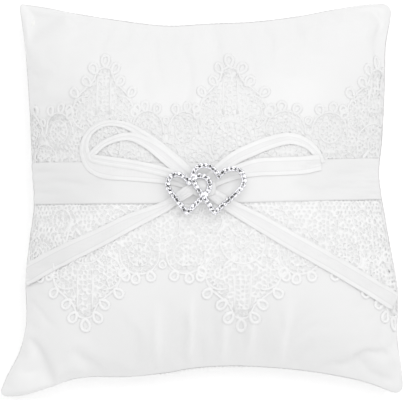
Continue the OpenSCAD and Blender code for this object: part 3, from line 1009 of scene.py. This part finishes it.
def build_knot():
    low, high = box_mm("bow_knot")
    centre = (low + high) / 2
    half = (high - low) / 2 * np.array([1.35, 2.7, 1.0])
    columns, rows = 40, 48
    a = np.linspace(-1, 1, columns)[:, None]
    b = np.linspace(0, TURN, rows, endpoint=False)[None, :]
    swell = (1 - np.clip(abs(a), 0, 1) ** 3.2) ** 0.4 * 0.93 + 0.07
    crease = 1 + 0.035 * np.cos(b * 9 + a * 1.6) + 0.02 * np.cos(b * 17 - a * 3)
    x = centre[0] + half[0] * a + 0 * b
    y = centre[1] + half[1] * swell * crease * np.cos(b)
    z = centre[2] + half[2] * swell * crease * np.sin(b)
    points = np.stack([x, y, z], axis=-1).reshape(-1, 3)
    mesh_piece("bow_knot", points, tube_faces(columns, rows), SHEER, across=np.ones(len(points)))


build_knot()


# ---- heart buckle

# One half of the heart, one unit wide, from the notch round to the tip
HALF_HEART = [(0, 0.7), (0.035, 0.75), (0.085, 0.8), (0.16, 0.852), (0.26, 0.88), (0.36, 0.865),
              (0.445, 0.805), (0.49, 0.72), (0.497, 0.63), (0.455, 0.52), (0.36, 0.395), (0.24, 0.26),
              (0.12, 0.13), (0, 0)]
HEART_MIDDLE = 0.44


def even_cups(count, width, centre, lean):
    """Evenly spaced places along a heart, as the CAD's cups."""
    outline = HALF_HEART + [(-x, y) for x, y in HALF_HEART[-2::-1]]
    line = spline(outline, np.linspace(0, 1, 521)) - (0, HEART_MIDDLE)
    run = run_along(line)
    places = at_run(np.arange(count) / count * run[-1], run, line)
    return turn(places * width, math.radians(lean)) + centre


def lathe(profile, places, sides):
    """Round pieces from one (radius, z) profile at several places."""
    points, faces = [], []
    t = np.linspace(0, TURN, sides, endpoint=False)
    for place in places:
        faces += tube_faces(len(profile), sides, len(points))
        for radius, z in profile:
            points += [(place[0] + radius * math.cos(a), place[1] + radius * math.sin(a), place[2] + z)
                       for a in t]
    return points, faces


CUP_D = 2.8
STONE_D = 2.0
CLAW_R = 0.27
CLAW_OUT = 0.98


def heart_frame(side, cups):
    """The metal setting: cups, and claws between them."""
    low, high = box_mm(f"heart_frame_{side}")
    tall = high[2] - low[2]
    sides = 16
    profile = [(CUP_D * 0.44, 0), (CUP_D * 0.5, 0.2), (CUP_D * 0.5, tall), (CUP_D * 0.455, tall + 0.14),
               (CUP_D * 0.41, tall - 0.1)]
    points, faces = lathe(profile, [(*p, low[2]) for p in cups], sides)
    # Unused, but the draws after it keep their order
    rng.uniform(0, 1, len(cups))
    # Random tones by pairs of sectors on each cup and one per claw, caps bright: painted reflections and
    # glints
    painted_reflection_tones = []
    for _cup in cups:
        sectors = np.repeat(rng.uniform(0, 1, sides // 2), 2)
        painted_reflection_tones += np.tile(sectors, len(profile) - 1).tolist() + [1.0, 1.0]
    following = np.roll(cups, -1, axis=0)
    outward = -leftward(unit(following - cups))
    between = (cups + following) / 2
    claws = np.concatenate([between + outward * CLAW_OUT, between - outward * CLAW_OUT])
    claw = [(CLAW_R, 0), (CLAW_R, 0.75), (CLAW_R * 0.8, 0.95), (CLAW_R * 0.35, 1.05)]
    claw_points, claw_faces = lathe(claw, [(*p, high[2] - 0.35) for p in claws], 8)
    faces += [[i + len(points) for i in face] for face in claw_faces]
    painted_reflection_tones += np.repeat(rng.uniform(0.1, 1, len(claws)), len(claw_faces) // len(claws)).tolist()
    mesh_piece(f"heart_frame_{side}", points + claw_points, faces, SILVER, across=painted_reflection_tones, faceted=True)


# The share of stones with a painted dark reflection over the facets on one side
PAINTED_DARK_STONES = 0.8
# A stone's outline: radius and height at four levels, and how far each level is turned, in facets
STONE_LEVELS = ((0.7, -0.3, 0), (1.0, 0.12, 0), (0.84, 0.55, 0.5), (0.46, 0.88, 0))
FACETS = 8


def heart_stones(side, cups):
    top = box_mm(f"heart_frame_{side}")[1][2]
    points, faces, painted_reflection_tones = [], [], []
    for x, y in cups:
        twist = rng.uniform(0, math.pi / 4)
        levels = len(points) + np.arange(len(STONE_LEVELS) * FACETS).reshape(-1, FACETS)
        for share, z, shift in STONE_LEVELS:
            for k in range(FACETS):
                a = twist + TURN * (k + shift) / FACETS
                r = share * STONE_D / 2
                points.append((x + r * math.cos(a), y + r * math.sin(a), top + z))
        for (a, c, e, g), (b, d, f, h) in zip(levels.T, np.roll(levels, -1, axis=1).T):
            faces += [(a, b, d, c), (c, d, e), (d, f, e), (e, h, g), (e, f, h)]
        faces += [levels[-1], levels[0][::-1]]
        # Some stones get a painted dark reflection over a wedge of facets; the rest get random painted glints
        dull = rng.uniform(0, 1) < PAINTED_DARK_STONES
        first, wide = rng.integers(FACETS), rng.integers(2, 4)
        for k in range(FACETS):
            in_painted_dark_wedge = dull and (k - first) % FACETS < wide
            painted_reflection_tones += (rng.uniform(0, 0.24, 5) if in_painted_dark_wedge else rng.uniform(0.1, 1, 5)).tolist()
        painted_reflection_tones += [rng.uniform(0, 1), 1.0]
    mesh_piece(f"heart_stones_{side}", points, faces, STONE, across=painted_reflection_tones, faceted=True)


left_cups = even_cups(30, 21.6, (-6.4, 2.5), -3.5)
right_cups = even_cups(36, 26.2, (8.3, 4.5), -6.5)
crossing = np.linalg.norm(left_cups[:, None] - right_cups[None], axis=2).min(axis=1)
heart_frame("right", right_cups)
heart_stones("right", right_cups)
heart_frame("left", left_cups)
# The left heart's cups have no stones where the right heart crosses them
heart_stones("left", left_cups[crossing > CUP_D / 2 + STONE_D / 2 + 0.15])


# ---- stitches and filling

def stitch_row(name, starts, ends, radius):
    """Short rounded stitches between pairs of points."""
    points, faces = [], []
    sides, rings = 6, 5
    for start, end in zip(starts, ends):
        start, end = np.asarray(start, float), np.asarray(end, float)
        along = unit(end - start)
        across = unit(np.cross(along, (0.1, 0.2, 1.0)))
        third = np.cross(along, across)
        faces += tube_faces(rings, sides, len(points))
        for t in np.linspace(0, 1, rings):
            r = radius * (0.35 + 0.65 * math.sin(math.pi * t))
            for a in np.linspace(0, TURN, sides, endpoint=False):
                points.append(start + (end - start) * t + r * (across * math.cos(a) + third * math.sin(a)))
    mesh_piece(name, points, faces, THREAD)


def build_seam_thread():
    line = outer_ring(front_grid)
    closed = np.concatenate([line, line[:1]])
    run = run_along(closed)
    pitch = 2.6
    at = np.arange(0, run[-1] - pitch, pitch)

    def sunk(s):
        points = at_run(s, run, closed)
        points[:, :2] -= at_run(s, run, unit(closed[:, :2])) * 0.12
        return points

    stitch_row("edge_seam_thread", sunk(at), sunk(at + pitch * 0.72), 0.2)


def build_closing_stitches():
    u = np.linspace(-0.2, 0.2, 22)
    x, y = plan(u, -np.ones_like(u))
    starts = np.stack([x, y - 0.35, np.full_like(x, SEAM_Z - 0.7)], axis=1)
    stitch_row("closing_stitches", starts, starts + (0.8, 0, 1.4), 0.24)


def build_tack_thread():
    low, high = box_mm("bow_tack_thread")
    x = np.linspace(low[0], high[0], 4)
    y = (low[1] + high[1]) / 2
    starts = [(a, y - 1.6, low[2] + 0.1) for a in x]
    ends = [(a + 0.5, y + 1.6, high[2] + 0.3) for a in x]
    stitch_row("bow_tack_thread", starts, ends, 0.25)


def build_filling():
    """Loose fibre inside the covers, a little inside them all over."""
    centre = np.array([0, 0, SEAM_Z])
    step = np.arange(GRID)
    lumps = 0.35 * np.sin(step[:, None] * 0.9) * np.sin(step[None, :] * 1.1)
    front, back = [centre + (grid - centre) * (0.965, 0.965, 0.93) for grid in (front_grid, back_grid)]
    front[1:-1, 1:-1, 2] += lumps[1:-1, 1:-1] - 0.4
    back[1:-1, 1:-1, 2] += 0.4
    points, faces, _index = closed_cushion(front, back)
    mesh_piece("fiber_filling", points, faces, FIBER)


build_seam_thread()
build_closing_stitches()
build_tack_thread()
build_filling()


# ---- floor, light, camera

def build_stage():
    mesh = bpy.data.meshes.new("floor")
    mesh.from_pydata([(-3, -3, 0), (3, -3, 0), (3, 3, 0), (-3, 3, 0)], [], [(0, 1, 2, 3)])
    floor = add_object("floor", mesh)
    floor.location.z = -0.0003
    mesh.materials.append(new_material("floor", Base_Color=(0.93, 0.93, 0.93, 1), Roughness=0.9,
                                       Emission_Color=(1, 1, 1, 1), Emission_Strength=0.16)[0])


def build_lights():
    """A pale studio all round, and one soft lamp over the front."""
    world = bpy.data.worlds.new("studio")
    world.use_nodes = True
    set_sockets(world.node_tree.nodes["Background"], Color=(1, 1, 1, 1), Strength=0.78)
    scene.world = world
    light = bpy.data.lights.new("key", "AREA")
    light.size = 0.8
    light.energy = 4.1
    lamp = add_object("key", light)
    lamp.location = (0.15, 0.235, 1.05)
    lamp.rotation_euler = (-lamp.location).to_track_quat("-Z", "Y").to_euler()


def build_camera():
    """Nearly straight down on the decorated face, from far enough to see it without much perspective."""
    sensor = 36.0
    view_width = 0.2127
    distance = 1.5
    elevation = math.radians(89)
    target = Vector((0.0016, 0.0, SEAM_Z * MM))
    camera = bpy.data.cameras.new("camera")
    camera.lens = sensor * distance / view_width
    camera.sensor_width = sensor
    camera.clip_start = 0.01
    holder = add_object("camera", camera)
    away = Vector((0, -math.cos(elevation), math.sin(elevation)))
    holder.location = target + away * distance
    holder.rotation_euler = (-away).to_track_quat("-Z", "Y").to_euler()
    scene.camera = holder


build_stage()
build_lights()
build_camera()
scene.view_settings.view_transform = "Standard"
# Several layers of sheer ribbon lie over white cloth, so light has to pass and bounce more than usual
scene.cycles.transparent_max_bounces = 32
scene.cycles.diffuse_bounces = 8
